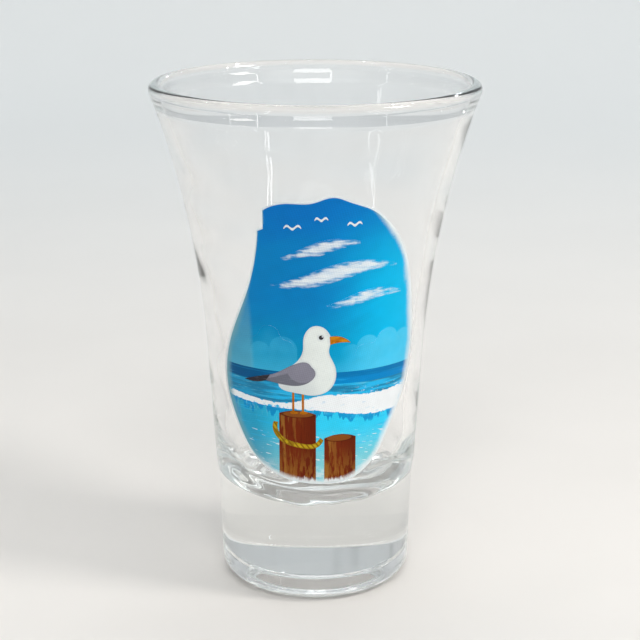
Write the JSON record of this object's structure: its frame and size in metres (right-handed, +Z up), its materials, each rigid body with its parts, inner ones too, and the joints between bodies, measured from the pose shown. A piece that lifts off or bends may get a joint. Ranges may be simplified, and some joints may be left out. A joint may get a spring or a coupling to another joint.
{
  "type": "shot glass",
  "caption": "Flared shot glass with a thick solid foot, a rounded lip and a printed seaside picture of a gull on mooring posts.",
  "frame": {"origin": "centre of the ring that the foot rests on, at the bottom of the glass", "axes": "+Z up along the glass's axis, from the foot to the lip; -Y forward through the middle of the printed picture; +X to the right when looking at the picture"},
  "size_m": [0.0522, 0.0522, 0.082],
  "materials": {
    "clear_glass": "polished, fire-smoothed lip",
    "white_ink": "satin fired ink",
    "sky_ink": "satin fired ink",
    "far_sea_ink": "satin fired ink",
    "near_sea_ink": "satin fired ink",
    "surf_ink": "satin fired ink",
    "shallows_ink": "satin fired ink",
    "cloud_bank_ink": "satin fired ink",
    "high_cloud_ink": "satin fired ink",
    "gull_white_ink": "satin fired ink",
    "gull_grey_ink": "satin fired ink",
    "gull_slate_ink": "satin fired ink",
    "gull_orange_ink": "satin fired ink",
    "post_ink": "satin fired ink",
    "rope_ink": "satin fired ink"
  },
  "bodies": {
    "root": {"glass_body": "clear_glass", "white_underprint": "white_ink", "sky_print": "sky_ink", "far_sea_print": "far_sea_ink", "near_sea_print": "near_sea_ink", "surf_print": "surf_ink", "shallows_print": "shallows_ink", "cloud_bank_print": "cloud_bank_ink", "high_cloud_print": "high_cloud_ink", "distant_birds_print": "high_cloud_ink", "gull_body_print": "gull_white_ink", "gull_wing_print": "gull_grey_ink", "gull_wing_tip_print": "gull_slate_ink", "gull_beak_print": "gull_orange_ink", "gull_eye_print": "gull_slate_ink", "gull_legs_print": "gull_orange_ink", "tall_post_print": "post_ink", "short_post_print": "post_ink", "rope_print": "rope_ink"}
  },
  "joints": []
}
